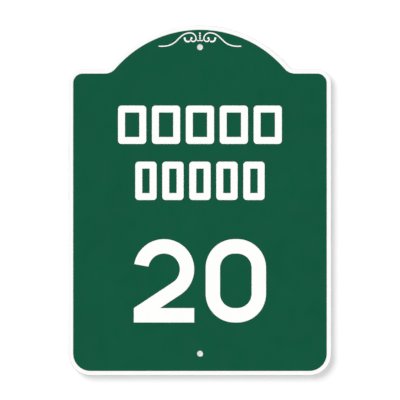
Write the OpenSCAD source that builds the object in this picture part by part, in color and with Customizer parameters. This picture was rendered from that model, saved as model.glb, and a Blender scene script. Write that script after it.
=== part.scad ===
// Arched-top road sign panel: a flat aluminium blank that carries cut layers of sign film.
// It hangs from two bolts, one in its head and one in its foot.
//
// Frame: the face looks along -Y, +X is to the reader's right and +Z is up.
// The origin lies midway between the two bolt holes, on the flat back of the blank.
// Every outline is drawn flat, in X and Z, and is then given its film's place and thickness.

/* [Panel] */
// Width of the panel
panel_w = 457.2; // [340:0.1:920]
// Height of the panel, from its foot to the crown of its arch
panel_h = 609.6; // [420:0.1:1220]
// Thickness of the aluminium blank
panel_t = 1.6; // [1:0.1:3.2]

/* [Outline] */
// Depth of the shoulders below the crown
shoulder_drop = 76.2; // [60:0.1:100]
// Distance from a side edge to the start of the hollow curve beside the arch
shoulder_w = 62.9; // [45:0.1:80]
// Radius of the hollow curve between the arch and a shoulder
neck_r = 16.5; // [4:0.1:24]
// Radius of the two shoulder corners
shoulder_r = 24.6; // [14:0.1:36]
// Radius of the two foot corners
foot_r = 38.1; // [14:0.1:90]

/* [Bolt holes] */
// Diameter of the two bolt holes
hole_d = 9.525; // [5:0.005:13]
// Distance from the crown, and from the foot, to the centre of the nearer hole
hole_inset = 38.1; // [36:0.1:44]

/* [Film] */
// Width of bare blank left round the edge of the white base film, and round each hole in a film
film_margin = 0.5; // [0.2:0.1:2]
// Width of the white border, from the edge of the blank to the green field
border_w = 7.9; // [3:0.1:12]
// Thickness of the white base film
base_film_t = 0.2; // [0.1:0.01:0.5]
// Thickness of the green field film
field_film_t = 0.1; // [0.05:0.01:0.5]
// Thickness of the cut white film that is laid on the green
trim_film_t = 0.1; // [0.05:0.01:0.5]

/* [Scrollwork] */
// Width of the line that draws the two long scrolls
scroll_line_w = 2; // [1:0.1:3]
// Width of the line that draws the two hooks under the scrolls
hook_line_w = 2.8; // [1:0.1:3.4]
// Distance from the centre line to the outer tip of a scroll
scroll_reach = 71; // [66:0.1:90]
// Height of a scroll's outer tip above the upper bolt hole's centre
scroll_rise = 1.6; // [0:0.1:5]
// Distance from the centre line to the outer end of a hook
hook_reach = 26.6; // [26:0.1:30]
// Height of a hook's outer end above the upper bolt hole's centre
hook_rise = 15.3; // [13:0.1:16]
// Diameter of the ball that ends each scroll and hook
ball_d = 3.6; // [2:0.1:4]
// Diameter of the beads between the two scrolls
bead_d = 3.2; // [1:0.1:3.5]
// Distance between the centres of two beads that are next to each other
bead_pitch = 4; // [3.6:0.1:5]
// Height of the lowest bead above the upper bolt hole's centre
bead_rise = 15.8; // [15.6:0.1:18]
// Width of the line that draws the link under the beads
link_line_w = 1.6; // [0.8:0.1:2]
// Height of the link's ends above the upper bolt hole's centre
link_rise = 11.9; // [10:0.1:12.5]

/* [Word marks] */
// Width of one mark of the upper row
upper_mark_w = 49; // [30:0.1:50]
// Width of one mark of the lower row
lower_mark_w = 37; // [30:0.1:50]
// Height of a mark
mark_h = 66.7; // [40:0.1:70]
// Width of the line that draws a mark
mark_line_w = 12; // [4:0.1:14]
// Radius of a mark's outer corners
mark_corner_r = 6; // [1:0.1:14]
// Gap between two marks of a row
mark_gap = 10; // [4:0.1:12]
// Height of the upper row's foot above the origin
upper_row_z = 98.2; // [90:0.1:100]
// Height of the lower row's foot above the origin
lower_row_z = 0.6; // [-10:0.1:15]

/* [Hidden] */
$fn = 96;

// Heights of the outline's features.
crown_z = panel_h / 2;
foot_z = -panel_h / 2;
shoulder_z = crown_z - shoulder_drop;
hole_z = panel_h / 2 - hole_inset;

// The arch is tangent to both hollow curves, and those are tangent to the shoulders.
neck_x = panel_w / 2 - shoulder_w;
arch_r = (neck_x * neck_x + shoulder_drop * shoulder_drop) / (2 * shoulder_drop) - neck_r;
arch_z = crown_z - arch_r;
neck_z = shoulder_z + neck_r;
tangent_x = neck_x * arch_r / (arch_r + neck_r);
tangent_z = arch_z + (neck_z - arch_z) * arch_r / (arch_r + neck_r);

// Distance of each film's back from the back of the blank.
base_film_back = panel_t;
field_film_back = base_film_back + base_film_t;
trim_film_back = field_film_back + field_film_t;

// A left scroll's and a left hook's heading at the outer end, and their arcs from there on.
// Each arc is [radius, turn], where a turn to the left is positive.
scroll_heading = -5;
scroll_arcs = [[52, 14], [32, 36], [300, -2], [24, -43], [10, -90], [5, -125], [3, -110]];
hook_heading = -92;
hook_arcs = [[5.6, 100], [9, 10]];
// The link is a wave of two dips with a crest between them on the centre line.
link_turn = 105;
link_dip = [2.3, link_turn];
link_crest = [1.2, -link_turn];
link_half_w = (2 * link_dip[0] + link_crest[0]) * sin(link_turn / 2);
// Number of marks in a row.
row_marks = 5;
// Angles between the points that draw a curve, and a round end, of the scrollwork.
curve_step = 5;
end_step = 15;

// --- Flat outlines ---

// The panel's outline, drawn in by the inset all round, with the two bolt holes let out by the margin.
module panel_outline(inset, hole_margin) {
    difference() {
        union() {
            body_outline(inset);
            head_outline(inset);
        }
        for (side = [-1, 1])
            translate([0, side * hole_z])
                circle(r = hole_d / 2 + hole_margin);
    }
}

// The body below the shoulders, with its four rounded corners.
module body_outline(inset) {
    half_w = panel_w / 2;
    foot_corner_z = foot_z + foot_r;
    shoulder_corner_z = shoulder_z - shoulder_r;
    translate([inset - half_w, foot_corner_z])
        square([panel_w - 2 * inset, shoulder_corner_z - foot_corner_z]);
    translate([foot_r - half_w, foot_z + inset])
        square([panel_w - 2 * foot_r, foot_r - inset]);
    translate([shoulder_r - half_w, shoulder_corner_z])
        square([panel_w - 2 * shoulder_r, shoulder_r - inset]);
    for (side = [-1, 1]) {
        translate([side * (half_w - foot_r), foot_corner_z])
            circle(r = foot_r - inset);
        translate([side * (half_w - shoulder_r), shoulder_corner_z])
            circle(r = shoulder_r - inset);
    }
}

// The arched head, with the hollow curves that run from it to the shoulders.
// It reaches down into the body, as far as the middle of the shoulder corners.
module head_outline(inset) {
    low_z = shoulder_z - shoulder_r;
    share = (arch_r - inset) / arch_r;
    top_x = tangent_x * share;
    top_z = arch_z + (tangent_z - arch_z) * share;
    intersection() {
        translate([0, arch_z])
            circle(r = arch_r - inset);
        translate([-neck_x, low_z])
            square([2 * neck_x, crown_z - low_z]);
    }
    difference() {
        polygon([
            [-neck_x, low_z],
            [neck_x, low_z],
            [neck_x, shoulder_z - inset],
            [top_x, top_z],
            [-top_x, top_z],
            [-neck_x, shoulder_z - inset]
        ]);
        for (side = [-1, 1])
            translate([side * neck_x, neck_z])
                circle(r = neck_r + inset);
    }
}

// --- Layers ---

// Stands a flat outline up as a layer: its back is at that distance from the back of the blank.
module layer(back, thickness) {
    translate([0, -back, 0])
        rotate([90, 0, 0])
            linear_extrude(thickness)
                children();
}

// The aluminium blank, cut from sheet.
module sign_blank() {
    color("silver")
        layer(0, panel_t)
            panel_outline(0, 0);
}

// The white base film, which shows round the edge as the border.
module base_film() {
    color("white")
        layer(base_film_back, base_film_t)
            panel_outline(film_margin, film_margin);
}

// The green film over the field.
module field_film() {
    color("darkgreen")
        layer(field_film_back, field_film_t)
            panel_outline(border_w, film_margin);
}

// Cut film laid on the green. Its outline is drawn about the centre line's point at height z.
module trim_film(z) {
    color("white")
        layer(trim_film_back, trim_film_t)
            translate([0, z])
                children();
}

// --- Scrollwork, drawn about the upper bolt hole's centre ---

// The place and heading, [x, y, heading], at the end of an arc that starts at p.
function arc_end(p, arc) =
    let(side = sign(arc[1]), from = p[2], to = p[2] + arc[1], r = side * arc[0])
    [p[0] - r * sin(from) + r * sin(to), p[1] + r * cos(from) - r * cos(to), to];

// Places and headings along one arc, but for its last.
function arc_points(p, arc) =
    let(steps = max(2, ceil(abs(arc[1]) / curve_step)))
    [for (i = [0:steps - 1]) arc_end(p, [arc[0], arc[1] * i / steps])];

// Places and headings along a chain of arcs, each tangent to the one before.
function track(p, arcs, i = 0) =
    i == len(arcs) ? [p] : concat(arc_points(p, arcs[i]), track(arc_end(p, arcs[i]), arcs, i + 1));

// The point beside p at an angle from its heading.
function beside(p, distance, angle) =
    [p[0] + distance * cos(p[2] + angle), p[1] + distance * sin(p[2] + angle)];

// A line of film with round ends that follows a chain of arcs, with a ball over an end if asked.
module ribbon(line_w, start, arcs, start_ball = 0, end_ball = 0) {
    places = track(start, arcs);
    last = len(places) - 1;
    half_w = line_w / 2;
    polygon(concat(
        [for (i = [0:last]) beside(places[i], half_w, -90)],
        [for (a = [end_step - 90:end_step:90]) beside(places[last], half_w, a)],
        [for (i = [last - 1:-1:0]) beside(places[i], half_w, 90)],
        [for (a = [end_step + 90:end_step:270 - end_step]) beside(places[0], half_w, a)]
    ));
    if (start_ball > 0)
        translate([places[0][0], places[0][1]])
            circle(d = start_ball);
    if (end_ball > 0)
        translate([places[last][0], places[last][1]])
            circle(d = end_ball);
}

// One long scroll, left of the centre line: it rises from its tip and curls in under its crest.
module scroll_left() {
    trim_film(hole_z)
        ribbon(
            scroll_line_w,
            [-scroll_reach, scroll_rise, scroll_heading],
            scroll_arcs,
            end_ball = ball_d
        );
}

// One hook, left of the centre line, under its scroll.
module hook_left() {
    trim_film(hole_z)
        ribbon(
            hook_line_w,
            [-hook_reach, hook_rise, hook_heading],
            hook_arcs,
            start_ball = ball_d
        );
}

module scroll_right() {
    mirror([1, 0, 0])
        scroll_left();
}

module hook_right() {
    mirror([1, 0, 0])
        hook_left();
}

// Three beads on the centre line, between the scrolls.
module beads() {
    trim_film(hole_z)
        for (i = [0:2])
            translate([0, bead_rise + i * bead_pitch])
                circle(d = bead_d);
}

// The link under the beads.
module bead_link() {
    trim_film(hole_z)
        ribbon(
            link_line_w,
            [-link_half_w, link_rise, -link_turn / 2],
            [link_dip, link_crest, link_dip]
        );
}

// --- Word marks ---

// A box with round corners, about its middle.
module rounded_box(w, h, r) {
    square([w, h - 2 * r], center = true);
    square([w - 2 * r, h], center = true);
    for (x = [-1, 1], y = [-1, 1])
        translate([x * (w / 2 - r), y * (h / 2 - r)])
            circle(r = r);
}

// Mark i of a row, counted from the left: a plain frame that stands in the place of one letter.
module word_mark(i, mark_w, row_z) {
    trim_film(row_z + mark_h / 2)
        translate([(i - (row_marks + 1) / 2) * (mark_w + mark_gap), 0])
            difference() {
                rounded_box(mark_w, mark_h, mark_corner_r);
                square([mark_w - 2 * mark_line_w, mark_h - 2 * mark_line_w], center = true);
            }
}

module upper_mark(i) {
    word_mark(i, upper_mark_w, upper_row_z);
}

module lower_mark(i) {
    word_mark(i, lower_mark_w, lower_row_z);
}

sign_blank();
base_film();
field_film();
scroll_left();
scroll_right();
hook_left();
hook_right();
beads();
bead_link();
upper_mark(1);  // upper_mark_1
upper_mark(2);  // upper_mark_2
upper_mark(3);  // upper_mark_3
upper_mark(4);  // upper_mark_4
upper_mark(5);  // upper_mark_5
lower_mark(1);  // lower_mark_1
lower_mark(2);  // lower_mark_2
lower_mark(3);  // lower_mark_3
lower_mark(4);  // lower_mark_4
lower_mark(5);  // lower_mark_5
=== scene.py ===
"""Arched-top road sign panel: its finishes, its cut film number and a plain studio.

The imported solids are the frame, and every place and size here is in metres.
The face looks along -Y, +X is to the reader's right and +Z is up.
The origin lies midway between the two bolt holes, on the back of the aluminium blank.
"""

import logging
import math
from dataclasses import dataclass
from enum import Enum

import bmesh
import bpy
from mathutils import Matrix, Vector


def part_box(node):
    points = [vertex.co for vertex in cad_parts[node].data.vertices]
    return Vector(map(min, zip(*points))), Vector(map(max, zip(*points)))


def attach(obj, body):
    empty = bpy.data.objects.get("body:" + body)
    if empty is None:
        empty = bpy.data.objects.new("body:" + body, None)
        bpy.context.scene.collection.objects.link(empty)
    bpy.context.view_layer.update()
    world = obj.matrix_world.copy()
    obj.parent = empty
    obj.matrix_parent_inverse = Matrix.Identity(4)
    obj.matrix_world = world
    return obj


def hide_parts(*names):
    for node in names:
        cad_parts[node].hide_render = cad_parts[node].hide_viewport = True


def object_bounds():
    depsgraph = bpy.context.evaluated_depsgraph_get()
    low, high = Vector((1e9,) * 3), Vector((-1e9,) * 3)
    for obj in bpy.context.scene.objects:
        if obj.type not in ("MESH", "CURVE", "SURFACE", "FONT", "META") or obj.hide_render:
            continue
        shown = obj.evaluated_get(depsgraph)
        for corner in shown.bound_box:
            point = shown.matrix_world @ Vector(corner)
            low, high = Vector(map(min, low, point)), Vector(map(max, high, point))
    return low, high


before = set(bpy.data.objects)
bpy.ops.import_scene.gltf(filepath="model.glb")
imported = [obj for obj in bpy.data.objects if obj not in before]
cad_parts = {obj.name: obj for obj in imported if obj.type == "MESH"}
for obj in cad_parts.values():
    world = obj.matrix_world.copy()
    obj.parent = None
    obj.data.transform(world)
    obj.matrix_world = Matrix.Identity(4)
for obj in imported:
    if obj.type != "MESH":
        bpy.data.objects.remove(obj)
CAD_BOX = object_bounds()

LOG = logging.getLogger("sign_panel")
MM = 0.001
BODY = "root"
MERGE_DISTANCE = 1e-6
RIM_ANGLE = math.radians(60)
FLAT_NORMAL = 0.999
ROUND_PROFILE = 0.5
BEVEL_SAMPLES = 6
EDGE_LIKENESS = (0.7, 0.98)

# The Mix node's sockets, which share their names, so that they can only be told by number.
VALUE_A, VALUE_B, VALUE_RESULT = 2, 3, 0
COLOUR_A, COLOUR_B, COLOUR_RESULT = 6, 7, 2

Colour = tuple[float, float, float]
Axes = tuple[float, float, float]
Range = tuple[float, float]


class Slot(Enum):
    """The record's material slots."""

    BLANK = "blank"
    WHITE_SHEETING = "white_sheeting"
    GREEN_FILM = "green_film"
    WHITE_FILM = "white_film"


class Digit(Enum):
    """The digits that the number may be cut from."""

    ZERO = "zero"
    TWO = "two"


# --- Finishes ---


class Graph:
    """The node tree of a material or of the world, built one node at a time."""

    def __init__(self, tree: bpy.types.NodeTree) -> None:
        """Empties a node tree and gets ready to fill it.

        Args:
            tree: The node tree of a material or of the world.
        """
        self.tree = tree
        self.tree.nodes.clear()

    def add(self, kind: str, inputs: dict | None = None, **settings: object) -> bpy.types.Node:
        """Adds a node.

        Args:
            kind: The node's type, without its ShaderNode prefix.
            inputs: What goes into each input, by its name or number: a value, or another node's output.
            settings: The node's own settings.

        Returns:
            The new node.
        """
        node = self.tree.nodes.new("ShaderNode" + kind)
        for name, value in settings.items():
            setattr(node, name, value)
        for name, value in (inputs or {}).items():
            if isinstance(value, bpy.types.NodeSocket):
                self.tree.links.new(value, node.inputs[name])
            else:
                node.inputs[name].default_value = value
        return node

    def position(self, stretch: Axes = (1, 1, 1), turn: float = 0.0) -> bpy.types.NodeSocket:
        """Gives the place on the object as a pattern's coordinates.

        Args:
            stretch: How many times longer the pattern runs along each axis than a plain one.
            turn: The pattern's turn in the plane of the face, in degrees.

        Returns:
            The output that carries the coordinates.
        """
        place = self.add("TexCoord").outputs["Object"]
        inputs = {"Vector": place, "Rotation": (0, math.radians(turn), 0), "Scale": stretch}
        return self.add("Mapping", inputs, vector_type="TEXTURE").outputs["Vector"]

    def noise(self, grain: float, detail: float = 2.0, **place: object) -> bpy.types.NodeSocket:
        """Adds a cloudy pattern.

        Args:
            grain: The size of a cloud, in metres.
            detail: How many finer layers of cloud are added.
            place: What position() takes.

        Returns:
            The output with the pattern's value, about 0.5.
        """
        inputs = {"Vector": self.position(**place), "Scale": 1 / grain, "Detail": detail}
        return self.add("TexNoise", inputs).outputs[0]

    def spread(
        self, value: bpy.types.NodeSocket, low: float, high: float, over: Range = (0.3, 0.7)
    ) -> bpy.types.NodeSocket:
        """Spreads a pattern's value from one result to another, and holds it there beyond them.

        Args:
            value: The pattern's value.
            low: The result where the range starts.
            high: The result where the range ends.
            over: The range of the pattern's value.

        Returns:
            The output with the result.
        """
        start, end = over
        inputs = {"Value": value, "From Min": start, "From Max": end, "To Min": low, "To Max": high}
        return self.add("MapRange", inputs).outputs[0]

    def combine(self, operation: str, first: object, second: object = 0.0) -> bpy.types.NodeSocket:
        """Works out a sum, a product or another operation on two values.

        Args:
            operation: The name of the operation.
            first: The first value or output.
            second: The second value or output.

        Returns:
            The output with the result.
        """
        return self.add("Math", {0: first, 1: second}, operation=operation).outputs[0]

    def blend(self, share: bpy.types.NodeSocket, first: object, second: object) -> bpy.types.NodeSocket:
        """Blends two colours.

        Args:
            share: The second colour's share.
            first: The first colour, or an output that carries it.
            second: The second colour, or an output that carries it.

        Returns:
            The output with the blended colour.
        """
        inputs = {"Factor": share, COLOUR_A: first, COLOUR_B: second}
        return self.add("Mix", inputs, data_type="RGBA").outputs[COLOUR_RESULT]

    def mix(self, share: bpy.types.NodeSocket, first: object, second: object) -> bpy.types.NodeSocket:
        """Mixes two values.

        Args:
            share: The second value's share.
            first: The first value or output.
            second: The second value or output.

        Returns:
            The output with the mixed value.
        """
        inputs = {"Factor": share, VALUE_A: first, VALUE_B: second}
        return self.add("Mix", inputs).outputs[VALUE_RESULT]

    def bump(
        self,
        height: bpy.types.NodeSocket,
        depth: float,
        under: bpy.types.NodeSocket | None = None,
    ) -> bpy.types.NodeSocket:
        """Raises the surface by a pattern.

        Args:
            height: The pattern.
            depth: How far the pattern's whole range reaches, in metres.
            under: The normal of a bump that this one lies on.

        Returns:
            The output with the normal.
        """
        inputs = {"Height": height, "Distance": depth, "Strength": 1.0}
        if under is not None:
            inputs["Normal"] = under
        return self.add("Bump", inputs).outputs["Normal"]

    def edges(self, reach: float) -> bpy.types.NodeSocket:
        """Finds the sharp edges of the piece.

        Args:
            reach: How far from an edge the surface still counts as near it.

        Returns:
            The output with the nearness: one at an edge, and zero beyond its reach.
        """
        rounded = self.add("Bevel", {"Radius": reach}, samples=BEVEL_SAMPLES).outputs["Normal"]
        flat = self.add("NewGeometry").outputs["Normal"]
        inputs = {0: rounded, 1: flat}
        likeness = self.add("VectorMath", inputs, operation="DOT_PRODUCT").outputs["Value"]
        return self.spread(likeness, 1, 0, EDGE_LIKENESS)

    def finish(self, **inputs: object) -> None:
        """Adds the surface shader and the output.

        Args:
            inputs: The shader's inputs, with an underscore for each space in a name.
        """
        named = {name.replace("_", " "): value for name, value in inputs.items()}
        shader = self.add("BsdfPrincipled", named)
        self.add("OutputMaterial", {"Surface": shader.outputs[0]})


def new_material(name: str) -> tuple[bpy.types.Material, Graph]:
    """Makes an empty material.

    Args:
        name: The material's name.

    Returns:
        The material and its graph.
    """
    material = bpy.data.materials.new(name)
    material.use_nodes = True
    return material, Graph(material.node_tree)


def with_alpha(colour: Colour) -> tuple[float, float, float, float]:
    """Gives a colour its alpha of one."""
    return (*colour, 1.0)


def shaded(colour: Colour, share: float) -> tuple[float, float, float, float]:
    """Scales a colour's brightness by a share, and gives it its alpha."""
    return with_alpha(tuple(min(1.0, channel * share) for channel in colour))


@dataclass(frozen=True)
class Hairlines:
    """Fine straight lines, gathered in patches.

    Attributes:
        width: Width of a line.
        runs: Each run of lines' turn, in degrees, and how many times longer a line is than it is wide.
        line_detail: How many finer layers the lines have.
        line_over: The range of the pattern's value over which a line comes up.
        patch: Size of a patch.
        patch_detail: How many finer layers a patch has.
        patch_over: The range of the pattern's value over which a patch comes up.
    """

    width: float
    runs: tuple[tuple[float, float], ...]
    line_detail: float
    line_over: Range
    patch: float
    patch_detail: float
    patch_over: Range

    def marks(self, graph: Graph) -> bpy.types.NodeSocket:
        """Adds the lines.

        Args:
            graph: The material's graph.

        Returns:
            The output with the marks: one on a line, and zero between them.
        """
        lines = 0.0
        for turn, length in self.runs:
            across = graph.noise(self.width, self.line_detail, stretch=(1, 1, length), turn=turn)
            lines = graph.combine("MAXIMUM", lines, graph.spread(across, 0, 1, self.line_over))
        patch = graph.spread(graph.noise(self.patch, self.patch_detail), 0, 1, self.patch_over)
        return graph.combine("MULTIPLY", lines, patch)


CLOTH_RUB = Hairlines(
    width=0.0012,
    runs=((24, 40),),
    line_detail=1,
    line_over=(0.66, 0.72),
    patch=0.05,
    patch_detail=2,
    patch_over=(0.45, 0.6),
)
STACK_SCUFFS = Hairlines(
    width=0.0016,
    runs=((38, 50), (-52, 35), (8, 60)),
    line_detail=0,
    line_over=(0.71, 0.75),
    patch=0.07,
    patch_detail=3,
    patch_over=(0.5, 0.62),
)


@dataclass(frozen=True)
class FilmFinish:
    """Smooth sign film: a pigmented layer under a clear skin, rolled on by hand.

    Attributes:
        name: The material's name.
        colour: The film's colour.
        tone: How far the colour drifts to either side, as a share of its brightness.
        tone_over: The range, for two patterns added, over which the colour drifts.
        worn_tone: How many times that far the colour darkens at a cut edge.
        worn_least: The least share of the wear, where the pigment's grain hides it best.
        gloss_rough: Roughness of the cleanest patches.
        haze_rough: Roughness of the dullest patches.
        haze_share: Size of the dull patches, as a share of the colour's.
        dulling: Roughness that a rub mark or a worn edge adds.
        cloud: Size of the patches in which the colour drifts.
        pigment: Size of the pigment's grain.
        peel: Width of the ripples that the roller leaves in the skin.
        peel_depth: Depth of those ripples.
        grain_share: Depth of the grain and of the rub marks, as a share of the ripples'.
        gloss: Level of the film's own gloss, where 0.5 is plain plastic.
        skin: Weight of the clear skin's gloss over it.
        skin_rough: Roughness of the clear skin.
        wear: How far in from a cut edge the film is dulled.
        rub: The hairlines that a cloth leaves as it wipes the film.
    """

    name: str
    colour: Colour
    tone: float = 0.02
    tone_over: Range = (0.7, 1.3)
    worn_tone: float = 3
    worn_least: float = 0.3
    gloss_rough: float = 0.32
    haze_rough: float = 0.4
    haze_share: float = 1 / 3
    dulling: float = 0.12
    cloud: float = 0.09
    pigment: float = 0.0008
    peel: float = 0.0045
    peel_depth: float = 0.00006
    grain_share: float = 1 / 12
    gloss: float = 0.15
    skin: float = 0.5
    skin_rough: float = 0.08
    wear: float = 0.0012
    rub: Hairlines = CLOTH_RUB

    def material(self) -> bpy.types.Material:
        """Builds the film's material.

        Returns:
            The material.
        """
        material, graph = new_material(self.name)
        grain = graph.noise(self.pigment, detail=1)
        rub = self.rub.marks(graph)
        worn = graph.combine("MULTIPLY", graph.edges(self.wear), graph.spread(grain, self.worn_least, 1))
        ripple = graph.bump(graph.noise(self.peel, detail=2), self.peel_depth)
        relief = graph.combine("SUBTRACT", grain, rub)
        graph.finish(
            Base_Color=self.hue(graph, grain, worn),
            Roughness=self.roughness(graph, graph.combine("MAXIMUM", rub, worn)),
            Normal=graph.bump(relief, self.peel_depth * self.grain_share, ripple),
            Specular_IOR_Level=self.gloss,
            Coat_Weight=self.skin,
            Coat_Roughness=self.skin_rough,
        )
        return material

    def hue(
        self, graph: Graph, grain: bpy.types.NodeSocket, worn: bpy.types.NodeSocket
    ) -> bpy.types.NodeSocket:
        """Gives the film's colour, which drifts a little and darkens at the cut edges.

        Args:
            graph: The material's graph.
            grain: The pigment's grain.
            worn: The wear at the cut edges.

        Returns:
            The output with the colour.
        """
        drift = graph.combine("ADD", graph.noise(self.cloud, detail=5), grain)
        tone = graph.spread(drift, 0, 1, self.tone_over)
        dark, light = shaded(self.colour, 1 - self.tone), shaded(self.colour, 1 + self.tone)
        return graph.blend(
            worn, graph.blend(tone, dark, light), shaded(self.colour, 1 - self.worn_tone * self.tone)
        )

    def roughness(self, graph: Graph, marks: bpy.types.NodeSocket) -> bpy.types.NodeSocket:
        """Gives the film's roughness, which drifts in patches and rises on every mark.

        Args:
            graph: The material's graph.
            marks: The rub marks and the wear.

        Returns:
            The output with the roughness.
        """
        patches = graph.noise(self.cloud * self.haze_share, detail=6)
        haze = graph.spread(patches, self.gloss_rough, self.haze_rough)
        return graph.combine("ADD", haze, graph.combine("MULTIPLY", marks, self.dulling))


@dataclass(frozen=True)
class MillFinish:
    """Bare aluminium sheet as the mill rolled it, sheared along its edges.

    Attributes:
        name: The material's name.
        colour: The metal's colour.
        shades: Brightness of the dark lines, the light lines and the rubbed rim, beside the colour's.
        tone_over: The range, for lines and oxide added, over which the metal goes from dark to light.
        grain: Width of the lines that the rolls leave, which run up the panel.
        grain_length: How many times longer a line is than it is wide.
        roll_depth: Depth of the lines.
        oxide: Size of the patches of oxide.
        oxide_share: Weight of the oxide beside the lines in the metal's brightness.
        oxide_drift: What a clean and a dull patch of oxide add to the roughness.
        line_rough: Roughness of the smoothest and of the dullest lines.
        scuff_rough: Roughness that a scratch adds.
        edge_rough: Roughness of the sheared edge.
        edge_over: The range of the normal's share along the sheet's thickness between edge and face.
        shear: Width of the marks that the shear leaves across the edge.
        shear_length: How many times longer such a mark is than it is wide.
        scuff_depth: Depth of a scratch and of a shear mark.
        rim: How far in from an edge the metal is rubbed bright.
        scuffs: The stray scratches that a stack of blanks leaves on one another.
    """

    name: str
    colour: Colour
    shades: tuple[float, float, float] = (0.86, 1.08, 1.16)
    tone_over: Range = (0.5, 0.9)
    grain: float = 0.0009
    grain_length: float = 90
    roll_depth: float = 0.000012
    oxide: float = 0.06
    oxide_share: float = 0.4
    oxide_drift: Range = (-0.05, 0.08)
    line_rough: Range = (0.3, 0.46)
    scuff_rough: float = 0.16
    edge_rough: float = 0.52
    edge_over: Range = (0.35, 0.85)
    shear: float = 0.0007
    shear_length: float = 12
    scuff_depth: float = 0.00003
    rim: float = 0.0015
    scuffs: Hairlines = STACK_SCUFFS

    def material(self) -> bpy.types.Material:
        """Builds the metal's material.

        Returns:
            The material.
        """
        material, graph = new_material(self.name)
        lines = graph.noise(self.grain, detail=3, stretch=(1, 1, self.grain_length))
        oxide = graph.noise(self.oxide, detail=6)
        scuffs = self.scuffs.marks(graph)
        edge = self.edge(graph)
        shear = graph.noise(self.shear, detail=2, stretch=(1, self.shear_length, 1))
        relief = graph.combine("SUBTRACT", graph.combine("MULTIPLY", shear, edge), scuffs)
        rolled, dulled = graph.spread(lines, *self.line_rough), graph.spread(oxide, *self.oxide_drift)
        face_rough = graph.combine("ADD", rolled, dulled)
        scuffed = graph.combine("ADD", face_rough, graph.combine("MULTIPLY", scuffs, self.scuff_rough))
        graph.finish(
            Base_Color=self.hue(graph, lines, oxide, edge),
            Metallic=1.0,
            Roughness=graph.mix(edge, scuffed, self.edge_rough),
            Normal=graph.bump(relief, self.scuff_depth, graph.bump(lines, self.roll_depth)),
        )
        return material

    def hue(
        self,
        graph: Graph,
        lines: bpy.types.NodeSocket,
        oxide: bpy.types.NodeSocket,
        edge: bpy.types.NodeSocket,
    ) -> bpy.types.NodeSocket:
        """Gives the metal's colour, which is brightest on the edge and on the rubbed rim.

        Args:
            graph: The material's graph.
            lines: The lines that the rolls leave.
            oxide: The patches of oxide.
            edge: The sheared edge.

        Returns:
            The output with the colour.
        """
        dark, light, rubbed = (shaded(self.colour, shade) for shade in self.shades)
        drift = graph.combine("ADD", lines, graph.combine("MULTIPLY", oxide, self.oxide_share))
        face = graph.blend(graph.spread(drift, 0, 1, self.tone_over), dark, light)
        bright = graph.combine("MAXIMUM", edge, graph.edges(self.rim))
        return graph.blend(bright, face, rubbed)

    def edge(self, graph: Graph) -> bpy.types.NodeSocket:
        """Tells the sheared edge from the two faces: one on the edge, and zero on a face."""
        normal = graph.add("NewGeometry").outputs["Normal"]
        along = graph.add("SeparateXYZ", {0: normal}).outputs["Y"]
        return graph.spread(graph.combine("ABSOLUTE", along), 1, 0, self.edge_over)


ALUMINIUM = MillFinish("mill_aluminium", (0.72, 0.73, 0.74))
WHITE_SHEETING = FilmFinish("white_sheeting", (0.93, 0.93, 0.925), tone=0.01)
GREEN_FILM = FilmFinish("green_film", (0.0004, 0.0895, 0.0425), tone=0.05)
WHITE_FILM = FilmFinish("white_cut_film", (0.95, 0.95, 0.945), tone=0.01, cloud=0.05)


# --- Shared mesh work ---


def new_piece(name: str, mesh: bmesh.types.BMesh) -> bpy.types.Object:
    """Makes a finished piece of a bmesh, at the origin, and frees the bmesh.

    Args:
        name: The piece's name.
        mesh: The piece's shape, in place.

    Returns:
        The piece, which rides on the panel's one body.
    """
    data = bpy.data.meshes.new(name)
    mesh.to_mesh(data)
    mesh.free()
    piece = bpy.data.objects.new(name, data)
    bpy.context.scene.collection.objects.link(piece)
    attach(piece, BODY)
    return piece


def only(items: list, kind: type) -> list:
    """Keeps the items of one kind: vertices, edges or faces."""
    return [item for item in items if isinstance(item, kind)]


def pull(mesh: bmesh.types.BMesh, edges: list[bmesh.types.BMEdge], move: Vector) -> None:
    """Extrudes edges into faces.

    Args:
        mesh: The mesh that holds the edges.
        edges: The edges.
        move: How far the new edges lie from them.
    """
    made = bmesh.ops.extrude_edge_only(mesh, edges=edges)["geom"]
    bmesh.ops.translate(mesh, vec=move, verts=only(made, bmesh.types.BMVert))


def thicken(mesh: bmesh.types.BMesh, back: float, front: float) -> None:
    """Turns a flat shape into a sheet with square edges.

    Args:
        mesh: The flat shape, at a y of zero.
        back: The y of the sheet's back.
        front: The y of the sheet's front.
    """
    bmesh.ops.remove_doubles(mesh, verts=mesh.verts, dist=MERGE_DISTANCE)
    bmesh.ops.translate(mesh, vec=(0, back, 0), verts=mesh.verts)
    made = bmesh.ops.extrude_face_region(mesh, geom=mesh.faces[:])["geom"]
    bmesh.ops.translate(mesh, vec=(0, front - back, 0), verts=only(made, bmesh.types.BMVert))
    bmesh.ops.recalc_face_normals(mesh, faces=mesh.faces)


def keep_inside(mesh: bmesh.types.BMesh) -> None:
    """Pulls a bevel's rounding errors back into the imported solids' box."""
    for vertex in mesh.verts:
        limits = zip(vertex.co, *CAD_BOX, strict=True)
        vertex.co = [min(max(value, low), high) for value, low, high in limits]


def dress(piece: bpy.types.Object, material: bpy.types.Material) -> None:
    """Gives a piece one material all over.

    Args:
        piece: The piece.
        material: Its material.
    """
    for slot in piece.material_slots:
        slot.material = material
    if not piece.material_slots:
        piece.data.materials.append(material)


def dress_nodes(names: list[str], finish: FilmFinish) -> None:
    """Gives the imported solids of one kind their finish.

    Args:
        names: The solids' names.
        finish: The finish that they share.
    """
    material = finish.material()
    for name in names:
        dress(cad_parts[name], material)
        LOG.info("%s: %s", name, finish.name)


# --- The panel ---


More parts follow.
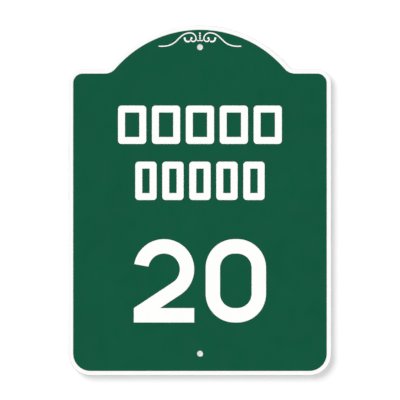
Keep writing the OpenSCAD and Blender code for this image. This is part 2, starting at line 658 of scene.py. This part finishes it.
@dataclass
class Pen:
    """A pen that draws one run of an outline in the plane of the face.

    Attributes:
        mesh: The mesh that it draws in.
        tip: The vertex that it stands on.
        chord: Greatest length of the straight edges that make a curve.
    """

    mesh: bmesh.types.BMesh
    tip: bmesh.types.BMVert
    chord: float

    def line_to(self, x: float, z: float) -> None:
        """Draws a straight edge to a place."""
        self.tip = bmesh.ops.extrude_vert_indiv(self.mesh, verts=[self.tip])["verts"][0]
        self.tip.co = (x, 0, z)

    def turn_about(self, x: float, z: float, sweep: float) -> None:
        """Draws an arc.

        Args:
            x: The x of the arc's centre.
            z: The z of the arc's centre.
            sweep: The arc's angle, which is positive where it runs anticlockwise to the reader.
        """
        centre = Vector((x, 0, z))
        length = abs(sweep) * (self.tip.co - centre).length
        spun = bmesh.ops.spin(
            self.mesh,
            geom=[self.tip],
            cent=centre,
            axis=(0, 1, 0),
            angle=-sweep,
            steps=math.ceil(length / self.chord),
        )
        self.tip = only(spun["geom_last"], bmesh.types.BMVert)[0]


@dataclass
class PanelOutline:
    """The arched outline, with its two bolt holes, that the blank and both layers of film share.

    Attributes:
        foot_r: Radius of the two foot corners.
        shoulder_r: Radius of the two shoulder corners.
        shoulder_w: Distance from a side edge to the start of the hollow curve beside the arch.
        shoulder_drop: Depth of the shoulders below the crown.
        neck_r: Radius of the hollow curve.
        hole_inset: Distance from the crown, and from the foot, to the nearer hole's centre.
        hole_r: Radius of a bolt hole.
        chord: Greatest length of the straight edges that make a long curve.
        hole_chord: Greatest length of the straight edges that make a hole.
    """

    foot_r: float = 38.1 * MM
    shoulder_r: float = 24.6 * MM
    shoulder_w: float = 62.9 * MM
    shoulder_drop: float = 76.2 * MM
    neck_r: float = 16.5 * MM
    hole_inset: float = 38.1 * MM
    hole_r: float = 4.7625 * MM
    chord: float = 1.5 * MM
    hole_chord: float = 0.6 * MM

    def flat(self, inset: float, hole_margin: float) -> bmesh.types.BMesh:
        """Draws the outline and fills it.

        Args:
            inset: How far the outline is drawn in all round.
            hole_margin: How far each hole is let out.

        Returns:
            The flat shape, at the back of the blank.
        """
        mesh = bmesh.new()
        self.right_half(mesh, inset)
        everything = [*mesh.verts, *mesh.edges]
        bmesh.ops.mirror(mesh, geom=everything, axis="X", merge_dist=MERGE_DISTANCE)
        radius = self.hole_r + hole_margin
        height = CAD_BOX[1].z - self.hole_inset
        for side in (-1, 1):
            place = Matrix.Translation((0, 0, side * height)) @ Matrix.Rotation(math.pi / 2, 4, "X")
            steps = math.ceil(2 * math.pi * radius / self.hole_chord)
            bmesh.ops.create_circle(mesh, segments=steps, radius=radius, matrix=place)
        bmesh.ops.triangle_fill(mesh, edges=mesh.edges[:], use_beauty=True, normal=(0, -1, 0))
        return mesh

    def right_half(self, mesh: bmesh.types.BMesh, inset: float) -> None:
        """Draws the right half of the outline, from the middle of the foot up to the crown.

        Args:
            mesh: The mesh that it is drawn in.
            inset: How far the outline is drawn in.
        """
        side, crown = CAD_BOX[1].x, CAD_BOX[1].z
        shoulder = crown - self.shoulder_drop
        neck = Vector((side - self.shoulder_w, 0, shoulder + self.neck_r))
        arch_r = (neck.x**2 + self.shoulder_drop**2) / (2 * self.shoulder_drop) - self.neck_r
        arch_z = crown - arch_r
        lean = math.atan2(neck.z - arch_z, neck.x)
        pen = Pen(mesh, mesh.verts.new((0, 0, inset - crown)), self.chord)
        pen.line_to(side - self.foot_r, inset - crown)
        pen.turn_about(side - self.foot_r, self.foot_r - crown, math.pi / 2)
        pen.line_to(side - inset, shoulder - self.shoulder_r)
        pen.turn_about(side - self.shoulder_r, shoulder - self.shoulder_r, math.pi / 2)
        pen.line_to(neck.x, shoulder - inset)
        pen.turn_about(neck.x, neck.z, lean - math.pi / 2)
        pen.turn_about(0, arch_z, math.pi / 2 - lean)


@dataclass
class SheetLayer:
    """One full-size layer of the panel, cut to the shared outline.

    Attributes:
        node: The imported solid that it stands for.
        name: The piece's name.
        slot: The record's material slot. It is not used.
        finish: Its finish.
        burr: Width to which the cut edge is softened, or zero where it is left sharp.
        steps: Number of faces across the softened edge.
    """

    node: str
    name: str
    slot: Slot
    finish: FilmFinish | MillFinish
    burr: float = 0.0
    steps: int = 3

    def build(self, outline: PanelOutline, hole_margin: float) -> bpy.types.Object:
        """Builds and dresses the layer.

        Args:
            outline: The shared outline.
            hole_margin: How far this layer's holes are let out.

        Returns:
            The layer's piece.
        """
        low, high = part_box(self.node)
        mesh = outline.flat(CAD_BOX[1].x - high.x, hole_margin)
        thicken(mesh, back=high.y, front=low.y)
        if self.burr:
            rims = [edge for edge in mesh.edges if edge.calc_face_angle(0) > RIM_ANGLE]
            bmesh.ops.bevel(
                mesh,
                geom=rims,
                offset=self.burr,
                segments=self.steps,
                profile=ROUND_PROFILE,
                affect="EDGES",
                material=-1,
                clamp_overlap=False,
            )
            keep_inside(mesh)
        for face in mesh.faces:
            face.smooth = abs(face.normal.y) < FLAT_NORMAL
        layer = new_piece(self.name, mesh)
        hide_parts(self.node)
        dress(layer, self.finish.material())
        return layer


@dataclass
class PanelSheets:
    """The blank and the two layers of film that cover it: white all over, then green.

    Attributes:
        outline: The outline that they share.
        film_margin: How far the holes in the film are let out.
        layers: The layers, from the back.
    """

    outline: PanelOutline
    film_margin: float = 0.5 * MM
    layers: tuple[SheetLayer, ...] = (
        SheetLayer("sign_blank", "blank_sheet", Slot.BLANK, ALUMINIUM, burr=0.25 * MM),
        SheetLayer("base_film", "white_sheeting", Slot.WHITE_SHEETING, WHITE_SHEETING),
        SheetLayer("field_film", "green_field", Slot.GREEN_FILM, GREEN_FILM),
    )

    def build(self) -> list[bpy.types.Object]:
        """Builds every layer.

        Returns:
            The layers' pieces, from the back.
        """
        margins = [0.0, self.film_margin, self.film_margin]
        return [
            layer.build(self.outline, margin)
            for layer, margin in zip(self.layers, margins, strict=True)
        ]


@dataclass
class TrimFilms:
    """The cut white film on the green field: the scrollwork and the two rows of word marks.

    Attributes:
        scrollwork: Names of the scrollwork's solids.
        rows: Names of the two rows of marks.
        row_marks: Number of marks in a row.
    """

    scrollwork: tuple[str, ...] = (
        "scroll_left",
        "scroll_right",
        "hook_left",
        "hook_right",
        "beads",
        "bead_link",
    )
    rows: tuple[str, ...] = ("upper_mark", "lower_mark")
    row_marks: int = 5

    def names(self) -> list[str]:
        """Lists the names of all the trim's solids."""
        marks = [f"{row}_{place + 1}" for row in self.rows for place in range(self.row_marks)]
        return [*self.scrollwork, *marks]

    def dress(self) -> None:
        """Gives every piece of trim its finish."""
        dress_nodes(self.names(), WHITE_FILM)


@dataclass
class FilmNumber:
    """A plain number of cut white film, in round-shouldered digits of one line width.

    Attributes:
        digits: The digits, from left to right, and the name of each one's piece.
        width: Width of a digit.
        height: Height of a digit.
        line: Width of the line that draws a digit.
        gap: Gap between two digits.
        foot_z: Height of the digits' feet.
        zero_corner: Radius of the zero's outer corners.
        terminal: Where the two's bowl starts, in degrees anticlockwise from the reader's right.
        arc_steps: Number of straight edges round a quarter turn.
    """

    digits: tuple[tuple[str, Digit], ...] = (
        ("number_tens", Digit.TWO),
        ("number_units", Digit.ZERO),
    )
    width: float = 105 * MM
    height: float = 145 * MM
    line: float = 25 * MM
    gap: float = 20 * MM
    foot_z: float = -212.5 * MM
    zero_corner: float = 50 * MM
    terminal: float = 170.0
    arc_steps: int = 20

    def build(self) -> list[bpy.types.Object]:
        """Builds and dresses every digit.

        Returns:
            The digits' pieces.
        """
        shapes = {Digit.ZERO: self.zero, Digit.TWO: self.two}
        low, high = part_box("beads")
        material = WHITE_FILM.material()
        pieces = []
        for index, (name, digit) in enumerate(self.digits):
            mesh = shapes[digit]()
            middle = (index - (len(self.digits) - 1) / 2) * (self.width + self.gap)
            bmesh.ops.translate(mesh, vec=(middle, 0, self.foot_z), verts=mesh.verts)
            thicken(mesh, back=high.y, front=low.y)
            piece = new_piece(name, mesh)
            dress(piece, material)
            pieces.append(piece)
        return pieces

    def zero(self) -> bmesh.types.BMesh:
        """Draws a zero: a box with round corners, and the same box a line's width inside it.

        Returns:
            The flat digit, about its foot's middle.
        """
        mesh = bmesh.new()
        upright = Matrix.Translation((0, 0, self.height / 2)) @ Matrix.Rotation(math.pi / 2, 4, "X")
        bmesh.ops.create_grid(mesh, x_segments=1, y_segments=1, size=0.5)
        bmesh.ops.scale(mesh, vec=(self.width, self.height, 1), verts=mesh.verts)
        bmesh.ops.transform(mesh, matrix=upright, verts=mesh.verts)
        bmesh.ops.bevel(
            mesh,
            geom=mesh.verts[:],
            offset=self.zero_corner,
            segments=self.arc_steps,
            profile=ROUND_PROFILE,
            affect="VERTICES",
            material=-1,
            clamp_overlap=False,
        )
        middle = mesh.faces[:]
        bmesh.ops.inset_region(
            mesh,
            faces=middle,
            thickness=self.line,
            use_boundary=True,
            use_even_offset=True,
        )
        bmesh.ops.delete(mesh, geom=middle, context="FACES")
        return mesh

    def two(self) -> bmesh.types.BMesh:
        """Draws a two: a bowl that is spun, a slant that leaves it at a tangent, and a foot.

        Returns:
            The flat digit, about its foot's middle.
        """
        mesh = bmesh.new()
        outer = self.width / 2
        inner = outer - self.line
        centre = Vector((0, 0, self.height - outer))
        toe = Vector((-outer, 0, self.line)) - centre
        leave = math.atan2(toe.z, toe.x) + math.acos(inner / toe.length)
        start = math.radians(self.terminal)
        ray = Vector((math.cos(start), 0, math.sin(start)))
        ends = [mesh.verts.new(centre + radius * ray) for radius in (inner, outer)]
        line = mesh.edges.new(ends)
        sweep = start - leave
        spun = bmesh.ops.spin(
            mesh,
            geom=[*ends, line],
            cent=centre,
            axis=(0, 1, 0),
            angle=sweep,
            steps=round(self.arc_steps * sweep / (math.pi / 2)),
        )
        slant = Vector((math.sin(leave), 0, -math.cos(leave))) * self.height
        pull(mesh, only(spun["geom_last"], bmesh.types.BMEdge), slant)
        cut = bmesh.ops.bisect_plane(
            mesh,
            geom=[*mesh.verts, *mesh.edges, *mesh.faces],
            dist=MERGE_DISTANCE,
            plane_co=(0, 0, self.line),
            plane_no=(0, 0, 1),
            clear_inner=True,
        )
        sole = only(cut["geom_cut"], bmesh.types.BMEdge)
        pull(mesh, sole, Vector((0, 0, -self.line)))
        top = self.line + MERGE_DISTANCE
        low = [edge for edge in mesh.edges if all(vert.co.z < top for vert in edge.verts)]
        heel = max(low, key=lambda edge: sum(vert.co.x for vert in edge.verts))
        pull(mesh, [heel], Vector((outer - heel.verts[0].co.x, 0, 0)))
        return mesh


# --- The studio ---


@dataclass
class Studio:
    """A pale floor, a white wall just behind the panel, and soft light from the upper left.

    Attributes:
        reach: Half the width of the floor and of the wall.
        drop: How far the floor lies below the panel's foot.
        wall_gap: Distance from the back of the blank to the wall.
        wall_colour: The wall's colour.
        wall_glow: Brightness of the wall where nothing lights it.
        floor_colour: The floor's colour.
        floor_rough: Roughness of the floor.
        key_from: Where the main light comes from.
        key_power: Strength of the main light.
        lamp_spread: Angle over which each of the two lights spreads, in degrees.
        back_from: Where the light on the back comes from.
        back_power: Strength of the light on the back.
        room_depth: Brightness of the room on the reader's side and behind the panel.
        room_depth_over: The range of the view's share along Y between those two.
        room_height: What that brightness is multiplied by towards the floor and the ceiling.
        room_height_over: The range of the view's share along Z between those two.
    """

    reach: float = 3.0
    drop: float = 0.06
    wall_gap: float = 12 * MM
    wall_colour: Colour = (0.49, 0.49, 0.49)
    wall_glow: float = 0.5
    floor_colour: Colour = (0.82, 0.82, 0.83)
    floor_rough: float = 0.8
    key_from: Axes = (-0.55, -1.0, 0.6)
    key_power: float = 3.45
    lamp_spread: float = 40.0
    back_from: Axes = (0.9, 1.0, 0.9)
    back_power: float = 1.6
    room_depth: Range = (0.04, 0.75)
    room_depth_over: Range = (-1.0, 0.2)
    room_height: Range = (0.7, 1.15)
    room_height_over: Range = (-0.6, 0.8)

    def build(self) -> None:
        """Sets up the whole studio."""
        self.floor()
        self.wall()
        self.lamp("key_light", self.key_from, self.key_power)
        self.lamp("back_light", self.back_from, self.back_power)
        self.world()
        bpy.context.scene.view_settings.view_transform = "Standard"

    def sheet(self, name: str, place: Matrix) -> bpy.types.Object:
        """Makes a large flat sheet that isn't part of the panel.

        Args:
            name: The sheet's name.
            place: Turns and moves the sheet from where it lies flat at the origin.

        Returns:
            The sheet.
        """
        mesh = bmesh.new()
        bmesh.ops.create_grid(mesh, x_segments=1, y_segments=1, size=self.reach, matrix=place)
        data = bpy.data.meshes.new(name)
        mesh.to_mesh(data)
        mesh.free()
        sheet = bpy.data.objects.new(name, data)
        bpy.context.scene.collection.objects.link(sheet)
        return sheet

    def floor(self) -> None:
        """Lays the floor."""
        material, graph = new_material("studio_floor")
        graph.finish(Base_Color=with_alpha(self.floor_colour), Roughness=self.floor_rough)
        height = CAD_BOX[0].z - self.drop
        floor = self.sheet("floor", Matrix.Translation((0, 0, height)))
        floor.visible_diffuse = False
        floor.visible_glossy = False
        dress(floor, material)

    def wall(self) -> None:
        """Stands the wall up. It hides nothing from behind, and only the camera sees it."""
        material, graph = new_material("studio_wall")
        paint = graph.add("BsdfDiffuse", {"Color": with_alpha(self.wall_colour)})
        glow = graph.add("Emission", {"Strength": self.wall_glow})
        front = graph.add("AddShader", {0: paint.outputs[0], 1: glow.outputs[0]})
        behind = graph.add("NewGeometry").outputs["Backfacing"]
        clear = graph.add("BsdfTransparent")
        either = graph.add("MixShader", {0: behind, 1: front.outputs[0], 2: clear.outputs[0]})
        graph.add("OutputMaterial", {"Surface": either.outputs[0]})
        upright = Matrix.Translation((0, self.wall_gap, 0)) @ Matrix.Rotation(math.pi / 2, 4, "X")
        wall = self.sheet("wall", upright)
        wall.visible_diffuse = False
        wall.visible_glossy = False
        wall.visible_transmission = False
        wall.visible_shadow = False
        dress(wall, material)

    def lamp(self, name: str, source: Axes, power: float) -> None:
        """Hangs a broad, distant light.

        Args:
            name: The light's name.
            source: Where the light comes from.
            power: The light's strength.
        """
        data = bpy.data.lights.new(name, "SUN")
        data.energy = power
        data.angle = math.radians(self.lamp_spread)
        lamp = bpy.data.objects.new(name, data)
        lamp.rotation_euler = Vector(source).to_track_quat("Z", "Y").to_euler()
        bpy.context.scene.collection.objects.link(lamp)

    def world(self) -> None:
        """Fills the room with soft light, dim on the reader's side, and shows white behind all."""
        world = bpy.data.worlds.new("studio_world")
        world.use_nodes = True
        graph = Graph(world.node_tree)
        towards = graph.add("SeparateXYZ", {0: graph.add("TexCoord").outputs["Generated"]})
        away = graph.spread(towards.outputs["Y"], *self.room_depth, self.room_depth_over)
        up = graph.spread(towards.outputs["Z"], *self.room_height, self.room_height_over)
        level = graph.combine("MULTIPLY", away, up)
        plain = with_alpha((1, 1, 1))
        room = graph.add("Background", {"Color": plain, "Strength": level})
        white = graph.add("Background", {"Color": plain, "Strength": 1.0})
        seen = graph.add("LightPath").outputs["Is Camera Ray"]
        either = graph.add("MixShader", {0: seen, 1: room.outputs[0], 2: white.outputs[0]})
        graph.add("OutputWorld", {"Surface": either.outputs[0]})
        bpy.context.scene.world = world


@dataclass
class FrontCamera:
    """A camera square to the face, far enough off that nothing looks nearer than the rest.

    Attributes:
        distance: Distance from the camera to the back of the blank.
        span: Width of what the camera sees.
        centre: The x and z at which it looks.
    """

    distance: float = 1.5
    span: float = 0.6961
    centre: tuple[float, float] = (0.0001, 0.0006)

    def build(self) -> None:
        """Sets the camera up."""
        data = bpy.data.cameras.new("front_camera")
        data.type = "ORTHO"
        data.ortho_scale = self.span
        camera = bpy.data.objects.new("front_camera", data)
        camera.location = (self.centre[0], -self.distance, self.centre[1])
        camera.rotation_euler = (math.pi / 2, 0, 0)
        bpy.context.scene.collection.objects.link(camera)
        bpy.context.scene.camera = camera


def main() -> None:
    """Builds the camera, the panel and the studio."""
    logging.basicConfig(level=logging.INFO, format="%(name)s: %(message)s")
    FrontCamera().build()
    sheets = PanelSheets(PanelOutline()).build()
    TrimFilms().dress()
    digits = FilmNumber().build()
    for piece in (*sheets, *digits):
        LOG.info("%s: %d faces", piece.name, len(piece.data.polygons))
    Studio().build()


if __name__ == "__main__":
    main()
